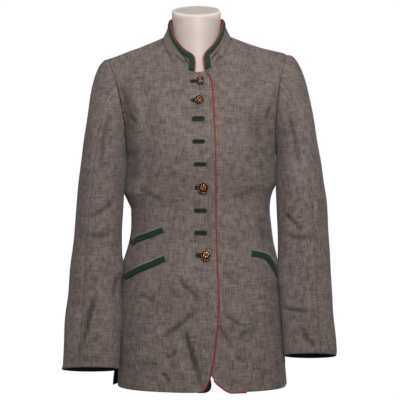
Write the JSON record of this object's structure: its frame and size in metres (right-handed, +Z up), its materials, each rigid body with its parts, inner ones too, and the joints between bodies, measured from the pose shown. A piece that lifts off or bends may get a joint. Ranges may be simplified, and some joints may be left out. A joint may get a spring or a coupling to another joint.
{
  "type": "blazer on a dress form",
  "caption": "Long linen blazer with a stand collar, green and red trim, slanted pockets and open sleeves, worn on a limbless dress form.",
  "frame": {"origin": "centre of the dress form's flat base, on the ground plane", "axes": "+Z up, -Y towards the front of the blazer, +X towards the wearer's left"},
  "size_m": [0.5666, 0.2589, 0.8109],
  "materials": {
    "linen": "taupe-grey slubby linen, matt",
    "green_trim": "dark green felted wool",
    "red_piping": "dark red cotton cord",
    "grey_lip": "light grey braid",
    "button_metal": "antique gold-coloured metal",
    "form_shell": "cream, glossy"
  },
  "bodies": {
    "root": {"front_right": "linen", "front_left": "linen", "back": "linen", "sleeve_right_upper": "linen", "sleeve_right_under": "linen", "sleeve_left_upper": "linen", "sleeve_left_under": "linen", "collar": "linen", "collar_band": "green_trim", "collar_piping": "red_piping", "piping_right": "red_piping", "piping_left": "red_piping", "welt_upper_right": "green_trim", "welt_lower_right": "green_trim", "welt_left": "green_trim", "welt_lip_upper_right": "grey_lip", "welt_lip_lower_right": "grey_lip", "welt_lip_left": "grey_lip", "buttonhole_1": "green_trim", "buttonhole_2": "green_trim", "buttonhole_3": "green_trim", "buttonhole_4": "green_trim", "buttonhole_5": "green_trim", "buttonhole_6": "green_trim", "buttonhole_7": "green_trim", "buttonhole_8": "green_trim", "buttonhole_9": "green_trim", "button_1": "button_metal", "button_2": "button_metal", "button_6": "button_metal", "button_9": "button_metal", "form": "form_shell"}
  },
  "joints": []
}
